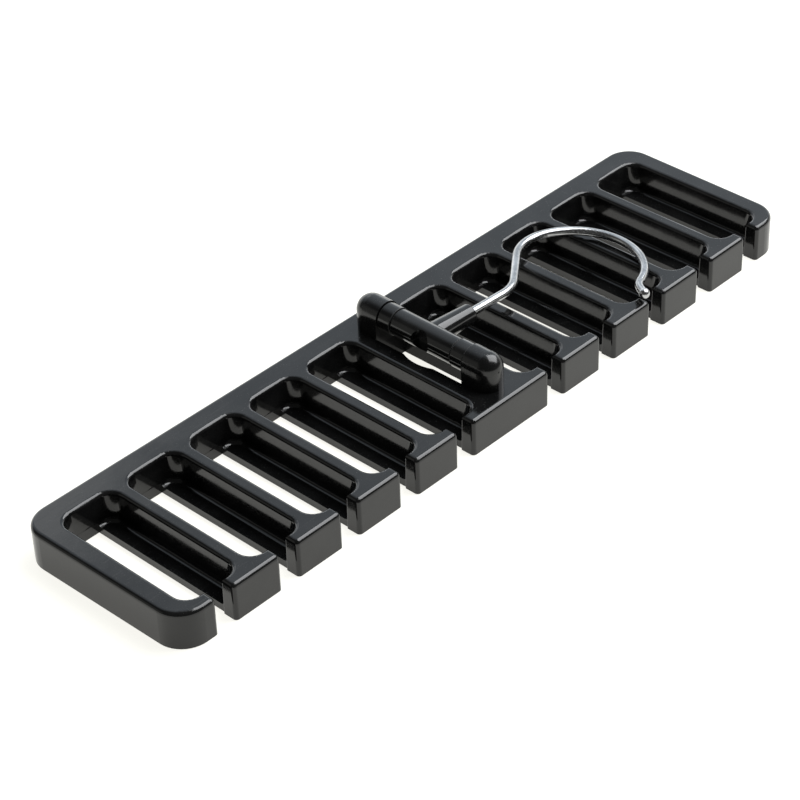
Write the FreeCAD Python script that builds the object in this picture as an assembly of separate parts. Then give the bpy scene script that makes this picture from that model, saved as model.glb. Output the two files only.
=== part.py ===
import FreeCAD, Part
import math
import os

# Tie hanger: a comb-shaped rack with a hook that folds on a hinge standing in the middle of it.
# Millimetres. The origin is on the underside, at the middle of the rack. X runs along the rack,
# the slots open towards -Y, Z is up. The hook is drawn folded down along +X.

# Rack
rack_depth = 82.2
rack_height = 15.5
plate_thickness = 3.0
slot_pitch = 30.0
slot_width = 9.4
mouth_width = 8.0
mouth_edge_radius = 0.5
slots_per_side = 5
first_slot_x = 25.1
rib_thickness = 5.6
spine_width = 10.5
rim_thickness = 5.8
end_bar_width = 8.4
end_flare = 1.2
corner_radius = 11.3
pocket_corner_radius = 6.0
pocket_foot_radius = 2.0
pocket_draft_angle = 2.0
tooth_corner_radius = 1.5
outer_edge_radius = 1.8
inner_edge_radius = 1.5

# Hinge housing in the middle of the rack
web_thickness = 2.1
deck_thickness = 3.0
bay_reach = 1.75
scallop_depth = 1.6
scallop_length = 15.0

# Hinge
axis_rise = 7.8
ear_span = 43.5
ear_radius = 6.2
ear_length = 7.4
pin_radius = 2.0
pin_recess = 1.2
pin_grip = 6.0
pin_end_play = 0.5
running_clearance = 0.05
seam_gap = 0.3
collar_radius = 5.7
collar_length = 6.1
collar_edge_radius = 0.3

# Hook carrier
barrel_radius = 5.4
barrel_edge_radius = 0.3
neck_root_radius = 4.9
neck_end_radius = 4.0
neck_length = 22.8
neck_edge_radius = 0.7
core_hole_radius = 4.4
core_hole_depth = 2.4
stem_wall = 1.2

# Hook
wire_radius = 1.75
stem_reach = 41.7
lead_radius = 17.5
lead_angle = 37.8
lead_length = 18.3
shoulder_radius = 20.7
shoulder_angle = 61.0
crown_radius = 26.7
crown_angle = 135.3
return_length = 1.7
tip_radius = 8.5
tip_angle = 40.0
tip_length = 3.5
tip_ball_radius = 2.15
rest_droop_angle = 2.86

# Shared by all cuts and edge picks
overrun = 5.0
pick_tolerance = 0.001

# Worked out from the sizes above
pocket_width = slot_pitch - rib_thickness
slot_xs = [side * (first_slot_x + slot_pitch * n) for side in (-1, 1) for n in range(slots_per_side)]
pocket_end_x = max(slot_xs) + pocket_width / 2
rack_length = 2 * (pocket_end_x + end_bar_width)
front_y = -rack_depth / 2
rear_y = rack_depth / 2
pocket_front_y = front_y + rim_thickness
pocket_rear_y = rear_y - spine_width
draft_slope = math.tan(math.radians(pocket_draft_angle))
pocket_inset = (rack_height - plate_thickness) * draft_slope
slot_front_y = pocket_front_y + pocket_inset
slot_rear_y = pocket_rear_y - pocket_inset
axis_z = rack_height + axis_rise
ear_face_y = ear_span / 2
dome_y = ear_face_y + ear_length
dome_end_y = dome_y + ear_radius
housing_half = first_slot_x - pocket_width / 2
bay_half = housing_half - web_thickness
collar_end_y = ear_face_y - seam_gap
collar_start_y = collar_end_y - collar_length
barrel_half = collar_start_y - seam_gap
bore_radius = pin_radius + running_clearance
stem_start_x = bore_radius + stem_wall
pin_front_y = -ear_face_y - pin_grip
pin_rear_y = dome_end_y - pin_recess

up = FreeCAD.Vector(0, 0, 1)
along = FreeCAD.Vector(1, 0, 0)
rearward = FreeCAD.Vector(0, 1, 0)
axis_point = FreeCAD.Vector(0, 0, axis_z)


def box_between(x0, x1, y0, y1, z0, z1):
    return Part.makeBox(x1 - x0, y1 - y0, z1 - z0, FreeCAD.Vector(x0, y0, z0))


def rises(edge):
    return edge.BoundBox.ZLength > pick_tolerance


def round_uprights(solid, radius):
    return solid.makeFillet(radius, [edge for edge in solid.Edges if rises(edge)])


def cylinder_on_axis(radius, y0, y1):
    return Part.makeCylinder(radius, y1 - y0, FreeCAD.Vector(0, y0, axis_z), rearward)


def round_rims(solid, radius):
    return solid.makeFillet(radius, [edge for edge in solid.Edges if edge.isClosed()])


def rims_round(solid, point):
    # circular edges centred on that point
    rims = [edge for edge in solid.Edges if edge.isClosed()]
    return [edge for edge in rims if edge.CenterOfMass.distanceToPoint(point) < pick_tolerance]


def lies_on_top(edge):
    return abs(edge.BoundBox.ZMin - rack_height) + abs(edge.BoundBox.ZMax - rack_height) < pick_tolerance


def lies_round_pocket(edge):
    box = edge.BoundBox
    behind_rim = box.YMin > pocket_front_y - inner_edge_radius
    before_spine = box.YMax < pocket_rear_y + inner_edge_radius
    return behind_rim and before_spine and abs(box.Center.x) < pocket_end_x + inner_edge_radius


def is_mouth_corner(edge):
    point = edge.BoundBox.Center
    reach = min(abs(abs(point.x - x) - mouth_width / 2) for x in slot_xs)
    return rises(edge) and reach < pick_tolerance and abs(point.y - front_y) < pick_tolerance


def block():
    # outline of the rack, a little longer at the rear than at the front
    front_x = rack_length / 2
    rear_x = front_x + end_flare
    corners = [(-front_x, front_y), (front_x, front_y), (rear_x, rear_y), (-rear_x, rear_y)]
    points = [FreeCAD.Vector(x, y, 0) for x, y in corners]
    solid = Part.Face(Part.makePolygon(points + points[:1])).extrude(up * rack_height)
    return round_uprights(solid, corner_radius)


def pocket(x):
    # hollow over a slot, with drafted walls, a rounded foot and a rounded mouth that flares into a slab above
    outlines = []
    for z in (plate_thickness, rack_height):
        inset = (rack_height - z) * draft_slope
        x0 = x - pocket_width / 2 + inset
        x1 = x + pocket_width / 2 - inset
        y0 = pocket_front_y + inset
        y1 = pocket_rear_y - inset
        places = [(x0, y0), (x1, y0), (x1, y1), (x0, y1), (x0, y0)]
        outlines.append(Part.makePolygon([FreeCAD.Vector(*place, z) for place in places]))
    solid = round_uprights(Part.makeLoft(outlines, True, True), pocket_corner_radius)
    foot = [edge for edge in solid.Edges if abs(edge.BoundBox.ZMax - plate_thickness) < pick_tolerance]
    solid = solid.makeFillet(pocket_foot_radius, foot)
    slab = box_between(x - pocket_width / 2 - overrun, x + pocket_width / 2 + overrun,
                       pocket_front_y - overrun, pocket_rear_y + overrun, rack_height, rack_height + overrun)
    solid = solid.fuse(slab)
    mouth = [edge for edge in solid.Edges if lies_on_top(edge) and lies_round_pocket(edge)]
    return solid.makeFillet(inner_edge_radius, mouth)


def mouth_edge(x, side):
    # sliver that comes off the inner edge of a mouth, which leans with the drafted wall behind the rim
    length = rack_height + 2 * overrun
    face_x = x + side * mouth_width / 2
    wall_y = pocket_front_y + (rack_height + overrun) * draft_slope
    end_x = face_x + side * mouth_edge_radius
    end_y = wall_y - mouth_edge_radius
    nearest = mouth_edge_radius * (1 - math.sqrt(1 / 2))
    places = [(face_x, end_y), (face_x - side * overrun, end_y), (face_x - side * overrun, wall_y + overrun),
              (end_x, wall_y + overrun), (end_x, wall_y)]
    points = [FreeCAD.Vector(*place, -overrun) for place in places]
    middle = FreeCAD.Vector(face_x + side * nearest, wall_y - nearest, -overrun)
    edges = [Part.makeLine(start, end) for start, end in zip(points, points[1:])]
    edges.append(Part.Arc(points[-1], middle, points[0]).toShape())
    return Part.Face(Part.Wire(edges)).extrude(FreeCAD.Vector(0, -draft_slope * length, length))


def comb():
    # plate, ribs, spine and rim: a block with slots cut in through narrower mouths, and a pocket over each slot
    mouths = []
    slots = []
    for x in slot_xs:
        mouths.append(box_between(x - mouth_width / 2, x + mouth_width / 2, front_y - overrun,
                                  pocket_front_y + overrun, -overrun, rack_height + overrun))
        slots.append(box_between(x - slot_width / 2, x + slot_width / 2, slot_front_y, slot_rear_y,
                                 -overrun, rack_height))
    solid = block().cut(mouths)
    solid = solid.makeFillet(tooth_corner_radius, [edge for edge in solid.Edges if is_mouth_corner(edge)])
    outer = [edge for edge in solid.Edges if lies_on_top(edge) and not lies_round_pocket(edge)]
    solid = solid.makeFillet(outer_edge_radius, outer)
    solid = solid.cut([pocket(x) for x in slot_xs]).cut(slots)
    return solid.cut([mouth_edge(x, side) for x in slot_xs for side in (-1, 1)])


def hinge_bay():
    # hollow under the hinge: open below, with a deck on top that has an opening between the two posts
    reach = ear_face_y + bay_reach
    hollow = box_between(-bay_half, bay_half, -reach, reach, -overrun, rack_height - deck_thickness)
    opening = box_between(-ear_radius, ear_radius, -ear_face_y, ear_face_y, 0, rack_height + overrun)
    scallop_radius = (scallop_length ** 2 / 4 + scallop_depth ** 2) / (2 * scallop_depth)
    offset = ear_radius + scallop_depth - scallop_radius
    parts = [hollow, opening]
    for side in (-1, 1):
        centre = FreeCAD.Vector(side * offset, 0, 0)
        disc = Part.makeCylinder(scallop_radius, rack_height + overrun, centre, up)
        strip = box_between(min(0, side * bay_half), max(0, side * bay_half),
                            -scallop_length / 2, scallop_length / 2, 0, rack_height + overrun)
        parts.append(disc.common(strip))
    return parts


def hinge_post(side):
    # ear with a domed outer end, on a post that is rounded in plan like the ear's end
    inner_y = side * ear_face_y
    round_y = side * dome_y
    slant = ear_radius * math.sqrt(2) / 2

    def plan(x, y):
        return FreeCAD.Vector(x, y, axis_z)

    tip = plan(0, side * dome_end_y)
    profile = [Part.makeLine(plan(0, inner_y), plan(-ear_radius, inner_y)),
               Part.makeLine(plan(-ear_radius, inner_y), plan(-ear_radius, round_y)),
               Part.Arc(plan(-ear_radius, round_y), plan(-slant, round_y + side * slant), tip).toShape(),
               Part.makeLine(tip, plan(0, inner_y))]
    ear = Part.Face(Part.Wire(profile)).revolve(axis_point, rearward, 180)
    outline = [Part.makeLine(plan(ear_radius, inner_y), plan(-ear_radius, inner_y)),
               Part.makeLine(plan(-ear_radius, inner_y), plan(-ear_radius, round_y)),
               Part.Arc(plan(-ear_radius, round_y), tip, plan(ear_radius, round_y)).toShape(),
               Part.makeLine(plan(ear_radius, round_y), plan(ear_radius, inner_y))]
    post = Part.Face(Part.Wire(outline)).extrude(-up * (axis_rise + deck_thickness))
    bore = cylinder_on_axis(pin_radius, pin_front_y - pin_end_play, dome_end_y + overrun)
    return ear.fuse(post).cut(bore)


def rack_frame():
    solid = comb().cut(hinge_bay())
    return solid.fuse([hinge_post(-1), hinge_post(1)]).removeSplitter()


def hinge_pin():
    # driven in from the rear, through both collars and the barrel into the front ear
    return cylinder_on_axis(pin_radius, pin_front_y, pin_rear_y)


def collar(start_y):
    ring = round_rims(cylinder_on_axis(collar_radius, start_y, start_y + collar_length), collar_edge_radius)
    return ring.cut(cylinder_on_axis(pin_radius, start_y - overrun, start_y + collar_length + overrun))


def fold_to_rest(solid):
    # turn from level down to the angle at which the folded hook lies
    return solid.rotated(axis_point, rearward, rest_droop_angle)


def hook_carrier():
    # barrel that turns on the pin, with the tapered neck that holds the hook's stem
    barrel = round_rims(cylinder_on_axis(barrel_radius, -barrel_half, barrel_half), barrel_edge_radius)
    neck = Part.makeCone(neck_root_radius, neck_end_radius, neck_length, axis_point, along)
    neck = neck.makeFillet(neck_edge_radius, rims_round(neck, axis_point + along * neck_length))
    stem_hole = Part.makeCylinder(wire_radius, neck_length, axis_point + along * stem_start_x, along)
    core_hole = Part.makeCylinder(core_hole_radius, core_hole_depth + overrun,
                                  axis_point - along * (barrel_radius - core_hole_depth), -along)
    bore = cylinder_on_axis(bore_radius, -barrel_half - overrun, barrel_half + overrun)
    return barrel.fuse(fold_to_rest(neck)).cut([fold_to_rest(stem_hole), fold_to_rest(core_hole), bore])


def hook_path():
    # centre line of the wire in the level plane through the hinge axis, walked from the neck to the tip
    edges = []
    place = axis_point + along * stem_start_x
    heading = 0.0

    def ahead(angle):
        return FreeCAD.Vector(math.cos(angle), math.sin(angle), 0)

    def add_line(length):
        nonlocal place
        end = place + ahead(heading) * length
        edges.append(Part.makeLine(place, end))
        place = end

    def add_bend(radius, angle, side):
        nonlocal place, heading
        turn = side * math.radians(angle)
        centre = place + ahead(heading + side * math.pi / 2) * radius
        middle = centre + ahead(heading + turn / 2 - side * math.pi / 2) * radius
        end = centre + ahead(heading + turn - side * math.pi / 2) * radius
        edges.append(Part.Arc(place, middle, end).toShape())
        place = end
        heading += turn

    add_line(stem_reach - stem_start_x)
    add_bend(lead_radius, lead_angle, 1)
    add_line(lead_length)
    add_bend(shoulder_radius, shoulder_angle, -1)
    add_bend(crown_radius, crown_angle, -1)
    add_line(return_length)
    add_bend(tip_radius, tip_angle, 1)
    add_line(tip_length)
    return Part.Wire(edges), place


def hook():
    # bent wire with a small ball at its tip
    path, tip = hook_path()
    ring = Part.Wire([Part.makeCircle(wire_radius, axis_point + along * stem_start_x, along)])
    wire = path.makePipeShell([ring], True, False)
    return fold_to_rest(wire.fuse(Part.makeSphere(tip_ball_radius, tip)))


pieces = {
    "rack_frame": rack_frame(),
    "hinge_pin": hinge_pin(),
    "front_collar": collar(-collar_end_y),
    "rear_collar": collar(collar_start_y),
    "hook_carrier": hook_carrier(),
    "hook": hook(),
}

os.makedirs("parts", exist_ok=True)
for name, shape in pieces.items():
    shape.exportStep("parts/" + name + ".step")
    box = shape.BoundBox
    print(name, len(shape.Solids), shape.isValid(), round(shape.Volume),
          [round(v, 2) for v in (box.XMin, box.XMax, box.YMin, box.YMax, box.ZMin, box.ZMax)])
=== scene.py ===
import math

import bpy
from mathutils import Matrix, Vector

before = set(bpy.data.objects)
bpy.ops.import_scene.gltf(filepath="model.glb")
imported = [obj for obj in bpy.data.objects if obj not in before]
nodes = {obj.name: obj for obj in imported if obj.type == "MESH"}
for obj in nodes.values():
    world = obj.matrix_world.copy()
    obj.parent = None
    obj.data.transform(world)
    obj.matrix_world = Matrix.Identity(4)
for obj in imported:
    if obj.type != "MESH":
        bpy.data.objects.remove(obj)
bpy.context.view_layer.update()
scene = bpy.context.scene
axisX, axisY, axisZ = (1, 0, 0), (0, 1, 0), (0, 0, 1)
print("frame loaded")


# Shader sockets with arithmetic
class Sock:
    def __init__(self, tree, out=None):
        self.tree = tree
        self.out = out

    def add(self, kind, inputs=None, output=0, **settings):  # any node, with its inputs set or linked
        node = self.tree.nodes.new(kind)
        for name, value in settings.items():
            setattr(node, name, value)
        for name, value in (inputs or {}).items():
            if isinstance(value, Sock):
                self.tree.links.new(value.out, node.inputs[name])
            else:
                node.inputs[name].default_value = value
        return Sock(self.tree, node.outputs[output])

    def maths(self, operation, first, second=0.0):
        return self.add("ShaderNodeMath", {0: first, 1: second}, operation=operation)

    def __add__(self, other):
        return self.maths("ADD", self, other)

    def __radd__(self, other):
        return self.maths("ADD", other, self)

    def __sub__(self, other):
        return self.maths("SUBTRACT", self, other)

    def __rsub__(self, other):
        return self.maths("SUBTRACT", other, self)

    def __mul__(self, other):
        return self.maths("MULTIPLY", self, other)

    def __rmul__(self, other):
        return self.maths("MULTIPLY", other, self)

    def ramp(self, low, high):  # 0 below low, 1 above high, smooth between
        ends = {"Value": self, "From Min": low, "From Max": high}
        return self.add("ShaderNodeMapRange", ends, interpolation_type="SMOOTHSTEP")

    def vector(self, operation, first, second=(0, 0, 0), output=0):
        return self.add("ShaderNodeVectorMath", {0: first, 1: second}, output, operation=operation)

    def dot(self, direction):  # this vector along a direction
        return self.vector("DOT_PRODUCT", self, tuple(direction), 1)

    def tint(self, colour):  # this value times a colour
        return self.add("ShaderNodeVectorMath", {0: colour, "Scale": self}, operation="SCALE")

    def noise(self, scale, detail):  # noise at this place
        return self.add("ShaderNodeTexNoise", {"Vector": self, "Scale": scale, "Detail": detail})

    def streaks(self, scales, detail):  # noise drawn out along the axis with the smallest scale
        return self.vector("MULTIPLY", self, scales).noise(1.0, detail)

    def blend(self, first, second):  # colour mixed from first to second by this value
        ends = {"Factor": self}
        for name, colour in (("A", first), ("B", second)):
            ends[name] = colour if isinstance(colour, Sock) else (*colour, 1)
        return self.add("ShaderNodeMix", ends, "Result", data_type="RGBA")


def newMaterial(name):
    material = bpy.data.materials.new(name)
    material.use_nodes = True
    tree = material.node_tree
    place = Sock(tree).add("ShaderNodeTexCoord", output="Object")
    return material, tree.nodes["Principled BSDF"], place


def link(value, node, name):
    value.tree.links.new(value.out, node.inputs[name])


# Camera
camera = dict(azimuth=-45.1756, elevation=36.4286, roll=-2.5303, distance=0.94065,
              target=(-0.01347, 0.00328, 0.0), focal=112.16, sensor=36.0, clipShare=0.01)


def addCamera(values):
    data = bpy.data.cameras.new("camera")
    data.lens = values["focal"]
    data.sensor_width = values["sensor"]
    data.clip_start = values["distance"] * values["clipShare"]
    azimuth, elevation, roll = (math.radians(values[name]) for name in ("azimuth", "elevation", "roll"))
    flat = math.cos(elevation)
    back = Vector((math.sin(azimuth) * flat, -math.cos(azimuth) * flat, math.sin(elevation)))
    level = Vector(axisZ).cross(back).normalized()
    rise = back.cross(level)
    right = math.cos(roll) * level + math.sin(roll) * rise
    upward = math.cos(roll) * rise - math.sin(roll) * level
    turn = Matrix((right, upward, back)).transposed().to_4x4()
    item = bpy.data.objects.new("camera", data)
    scene.collection.objects.link(item)
    stand = Vector(values["target"]) + back * values["distance"]
    item.matrix_world = Matrix.Translation(stand) @ turn
    scene.camera = item


addCamera(camera)
print("camera placed")


# Floor and studio light
studio = dict(floorHalf=3.0, floorDrop=0.0003, floorColour=(0.25, 0.25, 0.235), floorRoughness=0.9,
              floorGlow=(0.90, 0.89, 0.84), glowStrength=1.0, roomColour=(0.09, 0.09, 0.088))
keyBox = dict(toward=(0.52, -0.24, 0.82), distance=1.0, size=(0.90, 1.0), power=21.0,
              colour=(0.97, 0.98, 1.0))
glows = [  # soft light in the room: where it stands, its angular size in degrees and its radiance
    dict(toward=(0.60, 0.62, 0.50), inner=24.0, outer=60.0, radiance=(0.80, 0.89, 0.98)),
    dict(toward=(0.39, 0.74, 0.53), inner=8.8, outer=9.8, radiance=(0.85, 0.83, 0.80)),
    dict(toward=(-0.78, 0.57, 0.22), inner=10.0, outer=26.0, radiance=(0.28, 0.28, 0.26)),
]
sweep = dict(toward=(0.72, 0.69, 0.0), inner=48.0, outer=75.0,  # white paper, low behind the floor
             low=0.16, high=0.30, radiance=(1.15, 1.13, 1.08))


def addFloor(values):
    half = values["floorHalf"]
    height = -values["floorDrop"]  # just clear of the underside
    corners = [(-half, -half, height), (half, -half, height), (half, half, height), (-half, half, height)]
    mesh = bpy.data.meshes.new("floor")
    mesh.from_pydata(corners, [], [(0, 1, 2, 3)])
    item = bpy.data.objects.new("floor", mesh)
    scene.collection.objects.link(item)
    material, shader = newMaterial("floorPaper")[:2]
    shader.inputs["Base Color"].default_value = (*values["floorColour"], 1)
    shader.inputs["Roughness"].default_value = values["floorRoughness"]
    shader.inputs["Emission Color"].default_value = (*values["floorGlow"], 1)
    shader.inputs["Emission Strength"].default_value = values["glowStrength"]
    mesh.materials.append(material)


def addLamp(values):
    data = bpy.data.lights.new("keyBox", "AREA")
    data.shape = "RECTANGLE"
    data.size, data.size_y = values["size"]
    data.energy = values["power"]
    data.color = values["colour"]
    item = bpy.data.objects.new("keyBox", data)
    scene.collection.objects.link(item)
    toward = Vector(values["toward"]).normalized()
    item.location = toward * values["distance"]
    item.rotation_euler = toward.to_track_quat("Z", "Y").to_euler()


def facing(place, values):  # 1 inside the inner angle about a direction, 0 outside the outer one
    along = place.dot(Vector(values["toward"]).normalized())
    outer, inner = (math.cos(math.radians(values[name])) for name in ("outer", "inner"))
    return along.ramp(outer, inner)


def addWorld(values, boxes, paper):
    world = bpy.data.worlds.new("studio")
    world.use_nodes = True
    tree = world.node_tree
    place = Sock(tree).add("ShaderNodeTexCoord", output="Generated")
    light = values["roomColour"]
    for box in boxes:
        light = place.vector("ADD", light, facing(place, box).tint(box["radiance"]))
    level = facing(place, paper) * (1.0 - place.dot(axisZ).ramp(paper["low"], paper["high"]))
    light = place.vector("ADD", light, level.tint(paper["radiance"]))
    link(light, tree.nodes["Background"], "Color")
    scene.world = world
    scene.view_settings.view_transform = "Standard"


addFloor(studio)
addLamp(keyBox)
addWorld(studio, glows, sweep)
print("studio lit")


# Moulded gloss plastic
moulding = dict(ior=1.46, haze=0.05, edgeHaze=0.03, dustHaze=0.25, scratchHaze=0.12,  # shared by both
                warpDetail=1.0, rippleDetail=3.0, grainDetail=2.0, scratchDetail=2.0, dustDetail=1.0,
                grainDepth=0.0000035, scratchDepth=0.0000045,
                toneBand=(0.3, 0.7), hazeBand=(0.35, 0.8), scratchBand=(0.64, 0.70),  # levels of the noise
                dustRise=(0.5, 0.9), edgeRise=(0.15, 0.5), topRise=(0.9, 0.99))  # how far a face looks up
rackPlastic = dict(moulding, dark=(0.0030, 0.0031, 0.0032), light=(0.0068, 0.0069, 0.0069),
                   dust=(0.030, 0.030, 0.028), roughness=0.085, earHaze=0.08, earHeight=(0.0160, 0.0190),
                   # painted shade: in the zones below, a low-gloss copy of the plastic darkens the walls
                   # of the hinge bay and between the ears
                   paintedShadeStrength=0.65, paintedShadeRoughness=0.55, paintedShadeGloss=0.06, paintedShadeRise=(0.1, 0.4), zoneEdge=0.0003,
                   paintedShadeZones=((0.0111, 0.0240, 0.0158), (0.0064, 0.0219, 0.0240)),  # reach from the origin
                   warpScale=13.0, warpDepth=0.00030, rippleScale=75.0, rippleDepth=0.000035,
                   grainScale=1700.0, scratchScale=(70.0, 2600.0, 2600.0),
                   dustScale=2300.0, dustBand=(0.71, 0.76))
hingePlastic = dict(moulding, dark=(0.0035, 0.0036, 0.0036), light=(0.0080, 0.0080, 0.0078),
                    dust=(0.028, 0.028, 0.026), roughness=0.07,
                    jointHaze=0.55, joints=(0.0152, 0.0216), jointBand=(0.00036, 0.0006),
                    warpScale=30.0, warpDepth=0.00010, rippleScale=130.0, rippleDepth=0.000030,
                    grainScale=2000.0, scratchScale=(2600.0, 90.0, 2600.0),
                    dustScale=2500.0, dustBand=(0.72, 0.77))


def jointWear(place, values):  # 1 on the lines between the turning pieces, front and rear alike
    along = place.vector("ABSOLUTE", place).dot(axisY)
    wear = 0.0
    for joint in values["joints"]:
        offset = along.maths("ABSOLUTE", along - joint)
        wear = wear + (1.0 - offset.ramp(*values["jointBand"]))
    return wear


def paintedShadeShare(place, rise, values):  # 1 inside the painted shade zones, on faces that don't look up
    reach = place.vector("ABSOLUTE", place)
    share = 0.0
    for zone in values["paintedShadeZones"]:
        inside = 1.0 - rise.ramp(*values["paintedShadeRise"])
        for axis, half in zip((axisX, axisY, axisZ), zone):
            inside = inside * (1.0 - reach.dot(axis).ramp(half, half + values["zoneEdge"]))
        share = inside.maths("MAXIMUM", inside, share)
    return share


def plasticMaterial(name, values):
    material, shader, place = newMaterial(name)
    rise = place.add("ShaderNodeNewGeometry", output="Normal").dot(axisZ)
    warp = place.noise(values["warpScale"], values["warpDetail"])
    cloud = place.noise(values["rippleScale"], values["rippleDetail"])
    grain = place.noise(values["grainScale"], values["grainDetail"])
    scratch = place.streaks(values["scratchScale"], values["scratchDetail"]).ramp(*values["scratchBand"])
    dust = place.noise(values["dustScale"], values["dustDetail"]).ramp(*values["dustBand"])
    dust = dust * rise.ramp(*values["dustRise"])
    edge = rise.ramp(*values["edgeRise"]) * (1.0 - rise.ramp(*values["topRise"]))
    base = cloud.ramp(*values["toneBand"]).blend(values["dark"], values["light"])
    link(dust.blend(base, values["dust"]), shader, "Base Color")
    rough = values["roughness"] + values["haze"] * cloud.ramp(*values["hazeBand"])
    rough = rough + values["edgeHaze"] * edge + values["dustHaze"] * dust + values["scratchHaze"] * scratch
    if "joints" in values:  # grease and wear dull the lines between the turning pieces
        rough = rough + values["jointHaze"] * jointWear(place, values)
    if "earHaze" in values:  # the hinge ears are duller
        rough = rough + values["earHaze"] * place.dot(axisZ).ramp(*values["earHeight"])
    link(rough, shader, "Roughness")
    height = warp * values["warpDepth"] + cloud * values["rippleDepth"] + grain * values["grainDepth"]
    height = height - scratch * values["scratchDepth"]
    link(place.add("ShaderNodeBump", {"Height": height, "Distance": 1.0}), shader, "Normal")
    shader.inputs["IOR"].default_value = values["ior"]
    if "paintedShadeZones" in values:  # painted shade: inside the bay and between the ears a low-gloss copy of the plastic darkens the walls that don't look up
        paintedShadeSettings = {"Roughness": values["paintedShadeRoughness"], "Specular IOR Level": values["paintedShadeGloss"]}
        paintedShadeShader = place.add("ShaderNodeBsdfPrincipled", {"Base Color": base, **paintedShadeSettings})
        share = paintedShadeShare(place, rise, values) * values["paintedShadeStrength"]
        glossy = Sock(place.tree, shader.outputs["BSDF"])
        mixed = place.add("ShaderNodeMixShader", {0: share, 1: glossy, 2: paintedShadeShader})
        link(mixed, place.tree.nodes["Material Output"], "Surface")
    return material


# Chrome plate and steel
metal = dict(smearDetail=4.0, scuffDetail=2.0, pitDetail=1.0, grainDetail=2.0,  # shared by both
             scuffScale=(2400.0, 260.0, 2400.0),
             toneBand=(0.3, 0.7), hazeBand=(0.4, 0.8), scuffBand=(0.6, 0.7), pitBand=(0.74, 0.80))
hookChrome = dict(metal, dark=(0.295, 0.300, 0.305), light=(0.455, 0.460, 0.465), roughness=0.19,
                  smear=0.10, smearScale=140.0, scuffHaze=0.12,
                  pitScale=900.0, pitDepth=0.000010, grainScale=2500.0, grainDepth=0.000003)
pinSteel = dict(metal, dark=(0.25, 0.25, 0.26), light=(0.42, 0.42, 0.43), roughness=0.28,
                smear=0.12, smearScale=300.0, scuffHaze=0.15,
                pitScale=1200.0, pitDepth=0.000012, grainScale=3000.0, grainDepth=0.000006)


def metalMaterial(name, values):
    material, shader, place = newMaterial(name)
    smear = place.noise(values["smearScale"], values["smearDetail"])
    scuff = place.streaks(values["scuffScale"], values["scuffDetail"]).ramp(*values["scuffBand"])
    pit = place.noise(values["pitScale"], values["pitDetail"]).ramp(*values["pitBand"])
    grain = place.noise(values["grainScale"], values["grainDetail"])
    tone = smear.ramp(*values["toneBand"]).blend(values["light"], values["dark"])
    link(pit.blend(tone, values["dark"]), shader, "Base Color")
    rough = values["roughness"] + values["smear"] * smear.ramp(*values["hazeBand"])
    link(rough + values["scuffHaze"] * scuff, shader, "Roughness")
    height = grain * values["grainDepth"] - pit * values["pitDepth"]
    link(place.add("ShaderNodeBump", {"Height": height, "Distance": 1.0}), shader, "Normal")
    shader.inputs["Metallic"].default_value = 1.0
    return material


def dress(node, material):
    slots = nodes[node].data.materials
    slots.clear()
    slots.append(material)


dress("rack_frame", plasticMaterial("rackPlastic", rackPlastic))
hingeMaterial = plasticMaterial("hingePlastic", hingePlastic)
for node in ("hook_carrier", "front_collar", "rear_collar"):
    dress(node, hingeMaterial)
dress("hinge_pin", metalMaterial("pinSteel", pinSteel))
dress("hook", metalMaterial("hookChrome", hookChrome))
print("pieces dressed")
